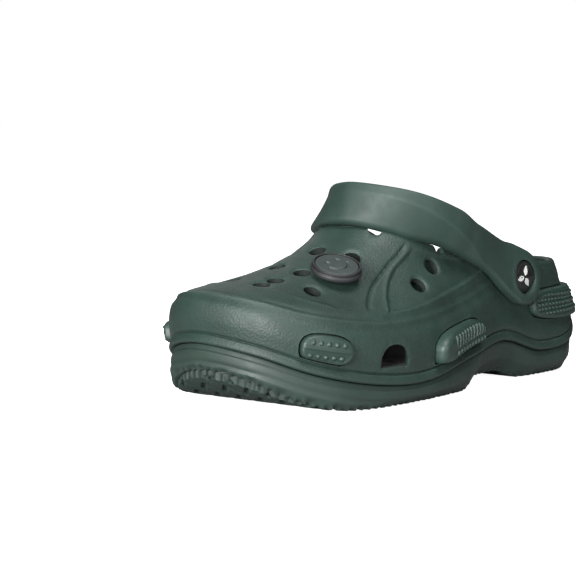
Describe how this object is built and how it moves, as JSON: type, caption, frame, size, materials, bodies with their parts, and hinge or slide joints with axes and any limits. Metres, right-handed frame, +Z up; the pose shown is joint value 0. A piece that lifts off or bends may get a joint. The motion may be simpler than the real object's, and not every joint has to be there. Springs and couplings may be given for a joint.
{
  "type": "rubber garden clog",
  "caption": "Closed-toe moulded foam clog for the left foot with a vented upper, padded side bumpers, a folding heel strap on snap rivets and a snap-in charm.",
  "frame": {"origin": "centre of the shoe's bounding box in plan, on the ground under the sole", "axes": "toe towards -Y, outer side of the left foot towards +X, +Z up"},
  "size_m": [0.1076, 0.2609, 0.0995],
  "materials": {
    "body_foam": "dark green, fine pebble grain, satin",
    "outsole_rubber": "dark green, matt",
    "insole_foam": "near black, dimpled, matt",
    "bumper_rubber": "dark green, ribbed and studded, satin",
    "strap_foam": "dark green, smooth satin",
    "rivet_plastic": "black, fine grain",
    "charm_black": "black, satin",
    "charm_grey": "grey green, satin"
  },
  "bodies": {
    "clog": {"clog_body": "body_foam", "outsole": "outsole_rubber", "insole": "insole_foam", "bumper_front_lateral": "bumper_rubber", "bumper_side_lateral": "bumper_rubber", "bumper_front_medial": "bumper_rubber", "bumper_side_medial": "bumper_rubber", "bumper_heel": "bumper_rubber"},
    "strap": {"heel_strap": "strap_foam", "rivet_cap_lateral": "rivet_plastic", "rivet_cap_medial": "rivet_plastic", "rivet_post_lateral": "rivet_plastic", "rivet_post_medial": "rivet_plastic"},
    "charm": {"charm_base": "charm_black", "charm_face": "charm_grey"}
  },
  "joints": [
    {"name": "strap_pivot", "type": "hinge", "parent": "clog", "child": "strap", "pos_m": [0, 0.0516, 0.051], "axis": [-1, 0, 0], "range_deg": [0, 145]},
    {"name": "charm_spin", "type": "hinge", "parent": "clog", "child": "charm", "pos_m": [0.01865, -0.06782, 0.05901], "axis": [0.3403, -0.1902, 0.9209], "continuous": true}
  ]
}
